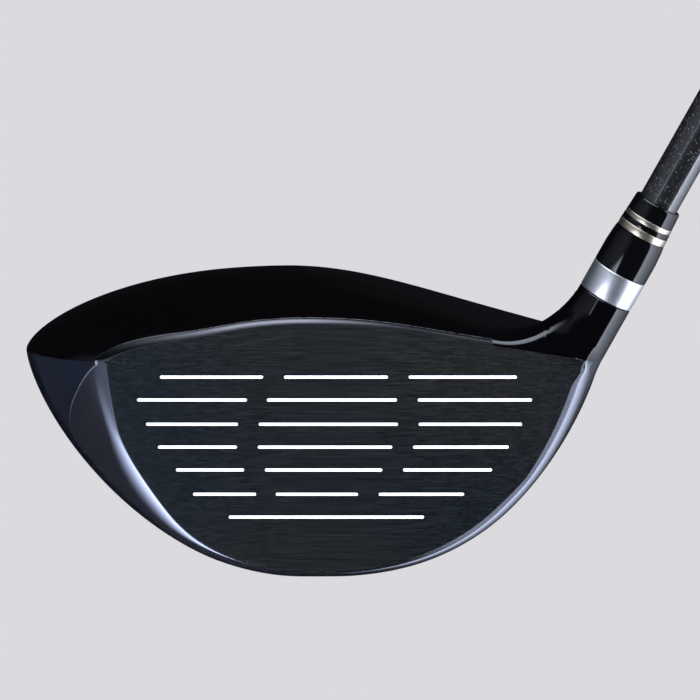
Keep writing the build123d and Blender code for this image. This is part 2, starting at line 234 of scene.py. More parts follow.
def sole_shares(drop):
    """How far the sole has drawn in at a share of the way down: toe, heel, front and rear."""
    powers = (SOLE_TOE_POWERS, SOLE_HEEL_POWERS, SOLE_REAR_POWERS)
    toe, heel, back = ((1 - drop**fall) ** (1 / turn) for fall, turn in powers)
    edge = PLAN_FRONT - 2.5 * drop
    front = edge + (SOLE_LOW_DEPTH - edge) * (1 - np.sqrt(1 - drop**22))
    rear = SOLE_LOW_DEPTH + (HEAD_DEPTH - SOLE_LOW_DEPTH) * back
    return toe, heel, front, rear


def sole_field(x, depth, over):
    full = skirt_height(SOLE_LOW_DEPTH) - SOLE_HEIGHT
    drop = np.clip(-over / full, 0, 0.99999)
    toe, heel, front, rear = sole_shares(drop)
    x = x - CONTACT_X
    plan_x = CONTACT_X + x / np.where(x < 0, toe, heel)
    plan_depth = PLAN_FRONT + (depth - front) / (rear - front) * (HEAD_DEPTH - PLAN_FRONT)
    return np.where(-over / full >= 0.99999, 1.0, SOLE_OUTLINE.share(plan_x, plan_depth) - 1)


def bowl_field(p):
    over = p[:, 2] - skirt_height(p[:, 1])
    return np.where(over > 0, crown_field(p[:, 0], p[:, 1], over) / 2, sole_field(p[:, 0], p[:, 1], over))


def gradient(field, p, reach=0.04):
    parts = []
    for axis in range(3):
        step = np.zeros(3)
        step[axis] = reach
        parts.append((field(p + step) - field(p - step)) / (2 * reach))
    return np.stack(parts, axis=1)


def bowl_distance(p):
    value = bowl_field(p)
    slope = np.linalg.norm(gradient(bowl_field, p), axis=1)
    return value / np.maximum(slope, 1e-3)


def face_distance(p):
    """Negative behind the bulged face."""
    centre = np.array([0, FACE_RADIUS, 0])
    return np.linalg.norm(p - centre, axis=1) - FACE_RADIUS


def hosel_axis():
    """Point on the hosel axis and its direction, in the head frame."""
    x, height = HOSEL_POINT
    depth = (HOSEL_SETBACK - height * math.sin(LOFT)) / math.cos(LOFT)
    along = np.array([math.cos(LIE), -math.sin(LIE) * math.sin(LOFT), math.sin(LIE) * math.cos(LOFT)])
    return np.array([x, depth, height]), along


HOSEL_ORIGIN, HOSEL_ALONG = hosel_axis()


def hosel_coordinates(p):
    """Station along the hosel axis and distance from it."""
    offset = p - HOSEL_ORIGIN
    station = offset @ HOSEL_ALONG
    return station, np.linalg.norm(offset - station[:, None] * HOSEL_ALONG, axis=1)


def hosel_distance(p, bottom):
    station, radius = hosel_coordinates(p)
    side = radius - HOSEL_RADIUS
    ends = np.maximum(station - NECK_TOP, bottom - station)
    return np.maximum(side, ends)


def edge_round(p):
    """Radius of the face's edge: tight along the topline and toe, wider at the heel and the sole."""
    sole = lerp_smooth(4.0, -14.0, p[:, 2])
    heel = lerp_smooth(20.0, 45.0, p[:, 0]) * lerp_smooth(19.0, 12.0, p[:, 2])
    return 0.8 + 1.8 * np.maximum(sole, 0.7 * heel)


def round_join(a, b, radius):
    """Two solids joined with a fillet."""
    corner = np.hypot(np.maximum(radius - a, 0), np.maximum(radius - b, 0))
    return np.maximum(radius, np.minimum(a, b)) - corner


def round_meet(a, b, radius):
    """What two solids share, with a rounded edge."""
    corner = np.hypot(np.maximum(a + radius, 0), np.maximum(b + radius, 0))
    return np.minimum(-radius, np.maximum(a, b)) + corner


def neck_fillet(p):
    """Fillet radius around the neck: almost none on the heel side, wide on the crown side."""
    out = np.array([math.sin(LIE), math.sin(LOFT) * math.cos(LIE), -math.cos(LOFT) * math.cos(LIE)])
    inward = -(p - HOSEL_ORIGIN) @ out
    return NECK_FILLET_HEEL + (NECK_FILLET_CROWN - NECK_FILLET_HEEL) * lerp_smooth(-6.0, 8.0, inward)


def head_field(p):
    """Bowl and neck joined with a wide fillet, then cut by the face, which runs up into the neck's front."""
    blank = round_join(bowl_distance(p), hosel_distance(p, -30.0), neck_fillet(p))
    front = round_join(face_distance(p), hosel_distance(p, -14.0) - 1.0, 3.0)
    return round_meet(blank, front, edge_round(p))


# ---- meshes --------------------------------------------------------

def head_matrix():
    """Head frame in millimetres to the row frame in metres."""
    best = None
    for drop in np.arange(0.7, 0.9995, 0.001):
        rear = sole_shares(drop)[3]
        height = skirt_height(rear) - drop * (skirt_height(SOLE_LOW_DEPTH) - SOLE_HEIGHT)
        level = height * math.cos(LOFT) - rear * math.sin(LOFT)
        if best is None or level < best[0]:
            best = (level, rear, height)
    lean = Matrix.Rotation(-LOFT, 4, "X")
    contact = lean @ Vector((CONTACT_X, best[1], best[2]))
    return Matrix.Scale(MM, 4) @ Matrix.Translation(-contact) @ lean


HEAD = head_matrix()


def hosel_matrix():
    origin = HEAD @ Vector(HOSEL_ORIGIN)
    axis = Vector((math.cos(LIE), 0, math.sin(LIE)))
    out = Vector((math.sin(LIE), 0, -math.cos(LIE)))
    turn = Matrix((out, axis.cross(out), axis)).transposed().to_4x4()
    return Matrix.Translation(origin) @ turn @ Matrix.Scale(MM, 4)


HOSEL = hosel_matrix()


def place(obj, node, slot):
    """Puts a finished piece on the club's body in place of its CAD node."""
    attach(obj, "club")
    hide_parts(node)


def new_object(name, points, faces, matrix, material):
    mesh = bpy.data.meshes.new(name)
    low, high = cad_box
    world = [matrix @ Vector(point) for point in points]
    world = [tuple(min(max(co, a), b) for co, a, b in zip(point, low, high)) for point in world]
    mesh.from_pydata(world, [], [tuple(face) for face in faces])
    mesh.polygons.foreach_set("use_smooth", [True] * len(mesh.polygons))
    mesh.update()
    obj = bpy.data.objects.new(name, mesh)
    bpy.context.scene.collection.objects.link(obj)
    mesh.materials.append(material)
    return obj


def rough_bowl():
    """Ball of rays from inside the head, each ending on the bowl or the face."""
    bpy.ops.mesh.primitive_ico_sphere_add(subdivisions=6, radius=1)
    ball = bpy.context.active_object
    rays = np.array([v.co for v in ball.data.vertices], float)
    centre = np.array(BOWL_CENTRE)
    near = np.zeros(len(rays))
    far = np.full(len(rays), RAY_LENGTH)
    for _ in range(22):
        middle = (near + far) / 2
        p = centre + rays * middle[:, None]
        outside = np.maximum(bowl_field(p), face_distance(p)) > 0
        far = np.where(outside, middle, far)
        near = np.where(outside, near, middle)
    ball.data.vertices.foreach_set("co", (centre + rays * near[:, None]).ravel())
    return ball


def rough_head(spacing):
    """Even mesh near the head's surface: the bowl joined to a plain neck."""
    ball = rough_bowl()
    bpy.ops.mesh.primitive_cylinder_add(vertices=64, radius=HOSEL_RADIUS, depth=ROUGH_NECK_LENGTH)
    neck = bpy.context.active_object
    turn = Vector(HOSEL_ALONG).to_track_quat("Z", "Y").to_matrix().to_4x4()
    middle = Vector(HOSEL_ORIGIN + HOSEL_ALONG * (NECK_TOP - ROUGH_NECK_LENGTH / 2))
    neck.data.transform(Matrix.Translation(middle) @ turn)
    ball.select_set(True)
    bpy.context.view_layer.objects.active = ball
    bpy.ops.object.join()
    remesh = ball.modifiers.new("even", "REMESH")
    remesh.mode = "VOXEL"
    remesh.voxel_size = spacing
    remesh.use_smooth_shade = True
    bpy.ops.object.modifier_apply(modifier=remesh.name)
    triangulate = ball.modifiers.new("split", "TRIANGULATE")
    bpy.ops.object.modifier_apply(modifier=triangulate.name)
    return ball


def relax_onto(field, points, faces, rounds, reach):
    """Moves points along the normal onto the zero level of a field, evening them between rounds."""
    for turn in range(rounds):
        if turn:
            total = np.zeros_like(points)
            count = np.zeros(len(points))
            for a, b in ((0, 1), (1, 2), (2, 0)):
                np.add.at(total, faces[:, a], points[faces[:, b]])
                np.add.at(count, faces[:, a], 1)
            points = points * 0.5 + total / count[:, None] * 0.5
        slope = gradient(field, points, 0.1)
        normal = slope / np.maximum(np.linalg.norm(slope, axis=1), 1e-9)[:, None]
        low = np.full(len(points), -reach)
        high = np.full(len(points), reach)
        for _ in range(13):
            middle = (low + high) / 2
            outside = field(points + normal * middle[:, None]) > 0
            high = np.where(outside, middle, high)
            low = np.where(outside, low, middle)
        points = points + normal * ((low + high) / 2)[:, None]
    return points


def directed_edges(faces):
    return np.concatenate([faces[:, [0, 1]], faces[:, [1, 2]], faces[:, [2, 0]]])


def refine(points, faces, marked):
    """Halves every edge whose two ends are marked."""
    edges = np.sort(directed_edges(faces), axis=1)
    unique, index = np.unique(edges, axis=0, return_inverse=True)
    halved = marked[unique].all(axis=1)
    middle = np.full(len(unique), -1)
    middle[halved] = len(points) + np.arange(halved.sum())
    points = np.concatenate([points, points[unique[halved]].mean(axis=1)])
    middles = middle[index.reshape(3, -1).T]
    touched = (middles >= 0).any(axis=1)
    made = []
    for face, (ab, bc, ca) in zip(faces[touched], middles[touched]):
        a, b, c = face
        if min(ab, bc, ca) >= 0:
            made += [(a, ab, ca), (ab, b, bc), (ca, bc, c), (ab, bc, ca)]
            continue
        ring = [v for v in (a, ab, b, bc, c, ca) if v >= 0]
        start = ring.index(next(v for v in (ab, bc, ca) if v >= 0))
        ring = ring[start:] + ring[:start]
        made += [(ring[0], ring[i], ring[i + 1]) for i in range(1, len(ring) - 1)]
    whole = faces[~touched]
    return points, np.concatenate([whole, np.array(made, int).reshape(-1, 3)])


def split_along(points, faces, values):
    """Splits triangles where a value changes sign, so that no triangle straddles zero."""
    values = np.where(np.abs(values) < 1e-4, 0.0, values)
    points = list(map(tuple, points))
    values = list(values)
    cut = {}
    result = []

    def crossing(a, b):
        key = (min(a, b), max(a, b))
        if key not in cut:
            share = values[a] / (values[a] - values[b])
            cut[key] = len(points)
            points.append(tuple(pa + share * (pb - pa) for pa, pb in zip(points[a], points[b])))
            values.append(0.0)
        return cut[key]

    sign = np.sign(np.array(values))
    straddles = (sign[faces].min(axis=1) < 0) & (sign[faces].max(axis=1) > 0)
    for face in faces[straddles]:
        ring = []
        for a, b in zip(face, np.roll(face, -1)):
            ring.append(int(a))
            if values[a] * values[b] < 0:
                ring.append(crossing(int(a), int(b)))
        result += split_ring(ring, values)
    whole = faces[~straddles]
    merged = np.concatenate([whole, np.array(result, int).reshape(-1, 3)])
    return np.array(points), merged, np.array(values)


def split_ring(ring, values):
    """Triangles of one cut triangle, each on one side of zero."""
    triangles = []
    for side in (1, -1):
        part = [index for index in ring if values[index] * side >= 0]
        if len(part) >= 3:
            triangles += [(part[0], part[i], part[i + 1]) for i in range(1, len(part) - 1)]
    return triangles


# ---- where one piece of the head ends and the next begins ----------

def polygon_distance(depth, height, corners):
    """Signed distance to a closed outline in the depth-height plane, negative inside."""
    nearest = np.full(len(depth), 1e9)
    inside = np.zeros(len(depth), bool)
    for (ax, ay), (bx, by) in zip(corners, corners[1:] + corners[:1]):
        run = bx - ax
        rise = by - ay
        along = np.clip(((depth - ax) * run + (height - ay) * rise) / (run**2 + rise**2), 0, 1)
        nearest = np.minimum(nearest, np.hypot(depth - ax - along * run, height - ay - along * rise))
        spans = (ay > height) != (by > height)
        inside ^= spans & (depth < ax + (height - ay) * run / (rise or 1e9))
    return np.where(inside, -nearest, nearest)


def above_neck_border(p):
    """Height above the straight line where the face ends and the neck begins."""
    (ax, ay), (bx, by) = NECK_BORDER
    slope = math.atan2(by - ay, bx - ax)
    return (p[:, 2] - ay) * math.cos(slope) - (p[:, 0] - ax) * math.sin(slope)


def cup_side(p):
    """Negative on the face cup: the face, its rolled edge and the returns at the toe, heel and sole."""
    corners = [(-60.0, -60.0), *CUP_PARTING, (-60.0, CUP_PARTING[-1][1])]
    returns = polygon_distance(p[:, 1], p[:, 2], corners)
    lip = np.maximum(-face_distance(p) - TOPLINE_RETURN, -p[:, 2])
    neck = np.minimum(above_neck_border(p), p[:, 0] - NECK_BORDER[0][0])
    return np.maximum(np.minimum(returns, lip), neck)


def seam_clearance(p):
    """Distance in from the cup's parting line. It is pushed up where the rim is not bare."""
    covered = lerp_smooth(-20.0, 5.0, p[:, 0]) * (p[:, 2] < 12)
    return -cup_side(p) + 9.0 * np.maximum(covered, p[:, 0] > 32.5)


def calm_normals(points, normals):
    """Normals beside the neck's straight border, eased toward the face so that the joint lies flush."""
    beside = 1 - lerp_smooth(*CALM_REACH, np.abs(above_neck_border(points)))
    start = lerp_smooth(*CALM_START, points[:, 0])
    leaning_x = points[:, 0] - (points[:, 2] - CALM_HEIGHT) / math.tan(LIE)
    end = 1 - lerp_smooth(*CALM_END, leaning_x)
    share = beside * start
    share *= end * (points[:, 1] < CALM_DEPTH)
    outward = points - np.array([0.0, FACE_RADIUS, 0.0])
    outward /= np.linalg.norm(outward, axis=1)[:, None]
    eased = normals * (1 - share)[:, None] + outward * share[:, None]
    return eased / np.linalg.norm(eased, axis=1)[:, None]


def crown_side(p):
    """Positive on the crown and neck, above the skirt line."""
    return (p[:, 2] - skirt_height(p[:, 1])) / math.hypot(1, SKIRT_TILT)


def neck_side(p):
    """Negative on the neck casting, around the hosel."""
    return hosel_coordinates(p)[1] - NECK_RADIUS


def neck_cut_side(p):
    """Negative below the cut where the shell ends and the turned top of the neck begins."""
    return hosel_coordinates(p)[0] - NECK_CUT


def port_side(p):
    """Negative inside the mouth of the sole weight's port."""
    offset = p - PORT_POINT
    out = offset @ PORT_AXIS
    radius = np.linalg.norm(offset - out[:, None] * PORT_AXIS, axis=1)
    return np.where(out > -8, radius - PORT_RADIUS, 50.0)


def head_surface():
    """Fine triangle mesh of the whole head, cut along every border between pieces."""
    ball = rough_head(FULL_SPACING)
    points = np.array([v.co for v in ball.data.vertices], float)
    faces = np.array([polygon.vertices[:] for polygon in ball.data.polygons])
    bpy.data.objects.remove(ball)
    points = relax_onto(head_field, points, faces, 2, 3.0)
    for width in (4.5, 2.5):
        rim = (np.abs(bowl_distance(points)) < width) & (np.abs(face_distance(points)) < width)
        points, faces = refine(points, faces, rim)
        points = relax_onto(head_field, points, faces, 1, 0.3)
    for side in (cup_side, crown_side, port_side):
        for offset in (-SEAM, 0.0, SEAM):
            points, faces, _ = split_along(points, faces, side(points) - offset)
    for side in (neck_side, neck_cut_side):
        points, faces, _ = split_along(points, faces, side(points))
    return relax_onto(head_field, points, faces, 1, 0.2), faces


def rim_sink(points):
    """How far a shell's rim sinks: a clear groove round the cup and port, a fine one at the skirt."""
    drop = np.where(np.abs(crown_side(points)) < ON_BORDER, SKIRT_GROOVE, 0.0)
    drop = np.where(np.abs(port_side(points)) < ON_BORDER, CUP_GROOVE, drop)
    return np.where(np.abs(cup_side(points)) < ON_BORDER, CUP_GROOVE, drop)


def shell_piece(name, points, faces, node, slot, material, thickness):
    """Closed shell from part of the head's surface: a sunk rim, a wall and an inner skin."""
    used, index = np.unique(faces, return_inverse=True)
    faces = index.reshape(-1, 3)
    points = points[used].copy()
    slope = gradient(head_field, points, 0.05)
    normals = slope / np.linalg.norm(slope, axis=1)[:, None]
    edges = directed_edges(faces)
    count = len(points)
    rim = edges[~np.isin(edges[:, 0] * count + edges[:, 1], edges[:, 1] * count + edges[:, 0])]
    on_rim = np.zeros(count, bool)
    on_rim[rim.ravel()] = True
    drop = np.where(on_rim, rim_sink(points), 0.0)
    skin = points - normals * drop[:, None]
    inner = deepen_port(points, points - normals * thickness, on_rim)
    walls = np.stack([rim[:, 1], rim[:, 0], rim[:, 0] + count, rim[:, 1] + count], axis=1)
    all_faces = [*map(tuple, faces), *map(tuple, faces[:, ::-1] + count), *map(tuple, walls)]
    obj = new_object(name, np.concatenate([skin, inner]), all_faces, HEAD, material)
    set_normals(obj.data, calm_normals(points, normals), drop, len(faces))
    seam = obj.data.attributes.new("seam", "FLOAT", "POINT")
    seam.data.foreach_set("value", np.tile(seam_clearance(points), 2).astype(np.float32))
    place(obj, node, slot)


def set_normals(mesh, normals, drop, outer_faces):
    """Exact surface normals on the outer and inner skins. Walls and sunk rims stay flat."""
    turned = normals @ np.array(HEAD.to_3x3().normalized()).T
    corners = np.zeros(len(mesh.loops), int)
    mesh.loops.foreach_get("vertex_index", corners)
    flat = np.zeros(len(mesh.polygons) * 3)
    mesh.polygons.foreach_get("normal", flat)
    sizes = np.zeros(len(mesh.polygons), int)
    mesh.polygons.foreach_get("loop_total", sizes)
    owner = np.repeat(np.arange(len(sizes)), sizes)
    flat = flat.reshape(-1, 3)[owner]
    smooth = np.concatenate([turned, -turned])[corners]
    sharp = (owner >= 2 * outer_faces) | (np.concatenate([drop, drop])[corners] > 0)
    smooth[sharp] = flat[sharp]
    mesh.normals_split_custom_set([tuple(normal) for normal in smooth])


def deepen_port(points, inner, on_rim):
    """Runs the wall around the weight's port straight down to the port's floor."""
    mouth = on_rim & (np.abs(port_side(points)) < ON_BORDER)
    depth = (points - PORT_POINT) @ PORT_AXIS + PORT_FLOOR + 0.5
    return np.where(mouth[:, None], points - depth[:, None] * PORT_AXIS, inner)


# ---- turned parts --------------------------------------------------

def lathe(name, profile, node, slot, material, matrix=HOSEL):
    """Turned piece from a closed profile of radius and height. Its corners stay crisp."""
    rings = len(profile)
    points = []
    for radius, height in profile:
        for step in range(LATHE_STEPS):
            angle = 2 * math.pi * step / LATHE_STEPS
            points.append((radius * math.cos(angle), radius * math.sin(angle), height))
    faces = []
    for ring in range(rings):
        below = ring * LATHE_STEPS
        above = (ring + 1) % rings * LATHE_STEPS
        for step in range(LATHE_STEPS):
            after = (step + 1) % LATHE_STEPS
            faces.append((below + step, below + after, above + after, above + step))
    obj = new_object(name, points, faces, matrix, material)
    obj.data.set_sharp_from_angle(angle=SHARP_CORNER)
    place(obj, node, slot)


def ring_profile(outer, bore, low, high, edge=0.12):
    """Ring with small rounded outer edges."""
    turns = [math.pi / 2 * turn / 3 for turn in range(4)]
    lower = [(outer - edge + edge * math.sin(turn), low + edge - edge * math.cos(turn)) for turn in turns]
    upper = [(outer - edge + edge * math.cos(turn), high - edge + edge * math.sin(turn)) for turn in turns]
    return [(bore, low), *lower, *upper, (bore, high)]


def capsule(start, end, steps):
    """Stations along a round-ended strip and its half width at each."""
    half = SCORE_WIDTH / 2
    nose = [half * (1 - math.cos(math.pi / 2 * i / 6)) for i in range(7)]
    middle = np.linspace(start + half, end - half, steps)[1:-1]
    stations = [start + n for n in nose] + list(middle) + [end - n for n in reversed(nose)]
    widths = [max(math.sqrt(max(half**2 - (half - n) ** 2, 0)), 0.02) for n in nose]
    return stations, widths + [half] * len(middle) + widths[::-1]


def score_lines(material):
    """White painted lines that follow the bulge of the face."""
    points = []
    faces = []
    for height, spans in SCORE_ROWS.items():
        for start, end in spans:
            stations, widths = capsule(start, end, int(end - start))
            base = len(points)
            for x, width in zip(stations, widths):
                for side, proud in ((1, 0.02), (-1, 0.02), (-1, -0.25), (1, -0.25)):
                    up = height + side * width
                    depth = FACE_RADIUS - math.sqrt((FACE_RADIUS + proud) ** 2 - x**2 - up**2)
                    points.append((x, depth, up))
            for i in range(len(stations) - 1):
                for a in range(4):
                    b = (a + 1) % 4
                    near = base + 4 * i
                    faces.append((near + a, near + b, near + 4 + b, near + 4 + a))
            last = base + 4 * (len(stations) - 1)
            faces.append((base + 3, base + 2, base + 1, base))
            faces.append((last, last + 1, last + 2, last + 3))
    obj = new_object("score_lines", points, faces, HEAD, material)
    obj.data.set_sharp_from_angle(angle=SHARP_CORNER)
    place(obj, "score_line_fill", "score_paint")


# ---- materials -----------------------------------------------------

class Graph:
    """Node tree with short ways to add the nodes that are used most."""

    def __init__(self, tree):
        self.tree = tree
        self.coords = tree.nodes.new("ShaderNodeTexCoord")

    def link(self, source, target):
        self.tree.links.new(source, target)

    def feed(self, socket, value):
        """Gives a socket a number or a colour, or links another socket to it."""
        if isinstance(value, (int, float)):
            socket.default_value = value
        elif isinstance(value, tuple):
            socket.default_value = (*value, 1)
        else:
            self.link(value, socket)

    def math(self, operation, first, second):
        node = self.tree.nodes.new("ShaderNodeMath")
        node.operation = operation
        self.feed(node.inputs[0], first)
        self.feed(node.inputs[1], second)
        return node.outputs[0]

    def vector(self, operation):
        node = self.tree.nodes.new("ShaderNodeVectorMath")
        node.operation = operation
        return node

    def spread(self, source, low, high, to_low, to_high, smooth=False):
        node = self.tree.nodes.new("ShaderNodeMapRange")
        node.interpolation_type = "SMOOTHSTEP" if smooth else "LINEAR"
        for name, value in zip(("From Min", "From Max", "To Min", "To Max"), (low, high, to_low, to_high)):
            node.inputs[name].default_value = value
        self.link(source, node.inputs["Value"])
        return node.outputs["Result"]


class Paint(Graph):
    """A procedural material built up node by node."""

    def __init__(self, name):
        self.made = bpy.data.materials.new(name)
        self.made.use_nodes = True
        super().__init__(self.made.node_tree)
        self.shader = self.tree.nodes["Principled BSDF"]

    def set(self, **values):
        for name, value in values.items():
            self.shader.inputs[name.replace("_", " ")].default_value = value

    def noise(self, scale, stretch=(1, 1, 1), detail=3.0, turn=(0, 0, 0)):
        """Noise over the piece's own metres, drawn out along its axes."""
        mapping = self.tree.nodes.new("ShaderNodeMapping")
        mapping.vector_type = "TEXTURE"
        mapping.inputs["Rotation"].default_value = turn
        mapping.inputs["Scale"].default_value = stretch
        noise = self.tree.nodes.new("ShaderNodeTexNoise")
        noise.inputs["Scale"].default_value = scale
        noise.inputs["Detail"].default_value = detail
        self.link(self.coords.outputs["Object"], mapping.inputs["Vector"])
        self.link(mapping.outputs["Vector"], noise.inputs["Vector"])
        return noise.outputs["Fac"]

    def blend(self, share, first, second):
        """Colour between two colours or colour sockets."""
        node = self.tree.nodes.new("ShaderNodeMix")
        node.data_type = "RGBA"
        self.link(share, node.inputs[0])
        self.feed(node.inputs[6], first)
        self.feed(node.inputs[7], second)
        return node.outputs[2]

    def mix(self, share, first, second):
        """Number between two numbers or number sockets."""
        node = self.tree.nodes.new("ShaderNodeMix")
        self.link(share, node.inputs[0])
        self.feed(node.inputs[2], first)
        self.feed(node.inputs[3], second)
        return node.outputs[0]

    def along_x(self):
        """Position from toe to heel, in metres."""
        node = self.tree.nodes.new("ShaderNodeSeparateXYZ")
        self.link(self.coords.outputs["Object"], node.inputs[0])
        return node.outputs[0]

    def facing(self, direction):
        """How far the surface faces a direction of the object."""
        node = self.vector("DOT_PRODUCT")
        node.inputs[1].default_value = direction
        self.link(self.coords.outputs["Normal"], node.inputs[0])
        return node.outputs["Value"]

    def square_to(self, centre):
        """How squarely the surface faces away from a centre point, in metres."""
        outward = self.vector("SUBTRACT")
        outward.inputs[1].default_value = centre
        self.link(self.coords.outputs["Object"], outward.inputs[0])
        unit = self.vector("NORMALIZE")
        self.link(outward.outputs[0], unit.inputs[0])
        dot = self.vector("DOT_PRODUCT")
        self.link(unit.outputs[0], dot.inputs[0])
        self.link(self.coords.outputs["Normal"], dot.inputs[1])
        return dot.outputs["Value"]

    def bump(self, height, strength, distance):
        node = self.tree.nodes.new("ShaderNodeBump")
        node.inputs["Strength"].default_value = strength
        node.inputs["Distance"].default_value = distance
        self.link(height, node.inputs["Height"])
        self.link(node.outputs["Normal"], self.shader.inputs["Normal"])

    def colour(self, socket):
        self.link(socket, self.shader.inputs["Base Color"])

    def rough(self, socket):
        self.link(socket, self.shader.inputs["Roughness"])


def plain(name, dark, light, rough, metallic=0.0, scale=900.0):
    """Even material with fine variation in its colour, roughness and height."""
    paint = Paint(name)
    paint.set(Metallic=metallic)
    fine = paint.noise(scale)
    broad = paint.noise(scale / 12)
    paint.colour(paint.blend(paint.mix(broad, fine, broad), dark, light))
    paint.rough(paint.spread(fine, 0.3, 0.7, rough * 0.85, rough * 1.15))
    paint.bump(fine, 0.2, 2e-5)
    return paint.made


def lacquer(name, dark, light, rough=0.04):
    """Gloss paint: deep colour, clear coat and the faintest orange peel."""
    paint = Paint(name)
    paint.set(Coat_Weight=0.15, Coat_Roughness=0.02, Specular_IOR_Level=0.2)
    fine = paint.noise(2600, detail=1.0)
    paint.colour(paint.blend(paint.noise(60), dark, light))
    paint.rough(paint.spread(fine, 0.35, 0.8, rough, rough * 1.8))
    paint.bump(paint.noise(380, detail=1.0), 0.012, 2e-5)
    return paint.made


FACE_CENTRE = tuple(HEAD @ Vector((0, FACE_RADIUS, 0)))
UP_AXIS = tuple((HEAD.to_3x3() @ Vector((0, 0, 1))).normalized())


def brushed_colour(paint, streaks):
    """Dark brushed metal that drifts between a cold and a warm tone."""
    cold = paint.blend(streaks, (0.0022, 0.0034, 0.0046), (0.0080, 0.0112, 0.0142))
    warm = paint.blend(streaks, (0.0036, 0.0040, 0.0042), (0.0130, 0.0136, 0.0134))
    patches = paint.spread(paint.noise(16.0, detail=0.0), 0.42, 0.6, 0, 1)
    return paint.blend(patches, cold, warm)


def topline_painted_highlight(paint):
    """Thin strip over the face with a painted highlight: pale at its middle, dark toward both ends, black
    where it faces up.
    """
    off_middle = paint.math("ABSOLUTE", paint.math("ADD", paint.along_x(), 0.008), 0)
    fade = paint.math("POWER", paint.spread(off_middle, 0.008, 0.036, 1, 0), 2.0)
    highlight_strip = paint.blend(fade, (0.004, 0.004, 0.005), (0.056, 0.056, 0.060))
    crest = paint.spread(paint.facing(UP_AXIS), 0.50, 0.66, 0, 1)
    return paint.blend(crest, highlight_strip, (0.001, 0.001, 0.001))


def bare_rim(paint, top):
    """Share of bare bright metal: beside the seam, on the toe's side and below the topline."""
    seam = paint.tree.nodes.new("ShaderNodeAttribute")
    seam.attribute_name = "seam"
    bare = paint.spread(seam.outputs["Fac"], 0.12, 0.22, 1, 0)
    bare = paint.math("MULTIPLY", bare, paint.spread(paint.along_x(), -0.010, 0.010, 1, 0))
    return paint.math("MULTIPLY", bare, paint.spread(top, 0.0, 1.0, 1, 0))


def brushed_face():
    """Dark hairline-brushed face, a polished bluish rolled edge and a bare bright rim at the seam, with a
    painted highlight on the heel's rolled edge and a painted highlight strip along the topline.
    """
    paint = Paint("brushed_face")
    paint.set(Specular_IOR_Level=0.15)
    short = paint.noise(1.0, (0.016, 0.00011, 0.00011), detail=4.0)
    long = paint.noise(1.0, (0.07, 0.0003, 0.0003), detail=2.0)
    streaks = paint.spread(paint.mix(long, short, long), 0.36, 0.64, 0, 1)
    square = paint.square_to(FACE_CENTRE)
    flat = paint.spread(square, 0.990, 0.996, 0, 1, smooth=True)
    top = paint.spread(paint.facing(UP_AXIS), 0.13, 0.22, 0, 1)
    toward_heel = paint.spread(paint.along_x(), -0.010, 0.020, 0, 1)
    at_heel = paint.spread(paint.along_x(), 0.021, 0.032, 0, 1)
    # Painted highlight: a paler, less metallic band on the heel's rolled edge beside the flat face, standing
    # in for the reflection there.
    heel_painted_highlight = paint.math("MULTIPLY", paint.spread(square, 0.84, 0.90, 0, 1, smooth=True), at_heel)
    edge = paint.blend(toward_heel, (0.105, 0.110, 0.140), (0.078, 0.082, 0.096))
    edge = paint.blend(heel_painted_highlight, edge, (0.100, 0.105, 0.125))
    colour = paint.blend(flat, edge, brushed_colour(paint, streaks))
    # Painted highlight along the topline, where the face turns up toward the crown.
    colour = paint.blend(top, colour, topline_painted_highlight(paint))
    bare = bare_rim(paint, top)
    paint.colour(paint.blend(bare, colour, (0.22, 0.22, 0.25)))
    metal = paint.mix(bare, paint.mix(flat, paint.mix(heel_painted_highlight, 0.95, 0.4), 0.5), 0.5)
    paint.link(metal, paint.shader.inputs["Metallic"])
    grained = paint.spread(streaks, 0.0, 1.0, 0.34, 0.5)
    paint.rough(paint.mix(bare, paint.mix(top, paint.mix(flat, 0.13, grained), 0.3), 0.35))
    paint.bump(paint.math("MULTIPLY", streaks, flat), 0.3, 1.5e-5)
    return paint.made


def turned_metal(name, dark, light, rough):
    """Metal with fine lathe lines around the hosel axis."""
    paint = Paint(name)
    paint.set(Metallic=1.0)
    lines = paint.noise(1.0, (0.02, 0.02, 0.00012), detail=2.0, turn=(0, math.pi / 2 - LIE, 0))
    paint.colour(paint.blend(lines, dark, light))
    paint.rough(paint.spread(lines, 0.3, 0.7, rough * 0.8, rough * 1.2))
    paint.bump(lines, 0.06, 1e-5)
    return paint.made


def shaft_finish():
    """Near-black paint with fine metal flake under a smooth clear coat."""
    paint = Paint("shaft_flake")
    cells = paint.tree.nodes.new("ShaderNodeTexVoronoi")
    cells.inputs["Scale"].default_value = 4200.0
    paint.link(paint.coords.outputs["Object"], cells.inputs["Vector"])
    split = paint.tree.nodes.new("ShaderNodeSeparateColor")
    paint.link(cells.outputs["Color"], split.inputs["Color"])
    flake = paint.spread(split.outputs[0], 0.9, 1.0, 0, 1)
    paint.colour(paint.blend(flake, (0.0045, 0.0045, 0.005), (0.05, 0.05, 0.055)))
    paint.rough(paint.spread(paint.noise(900), 0.3, 0.7, 0.3, 0.4))
    paint.set(Coat_Weight=1.0, Coat_Roughness=0.03, Specular_IOR_Level=0.15)
    paint.bump(split.outputs[1], 0.03, 1e-5)
    return paint.made


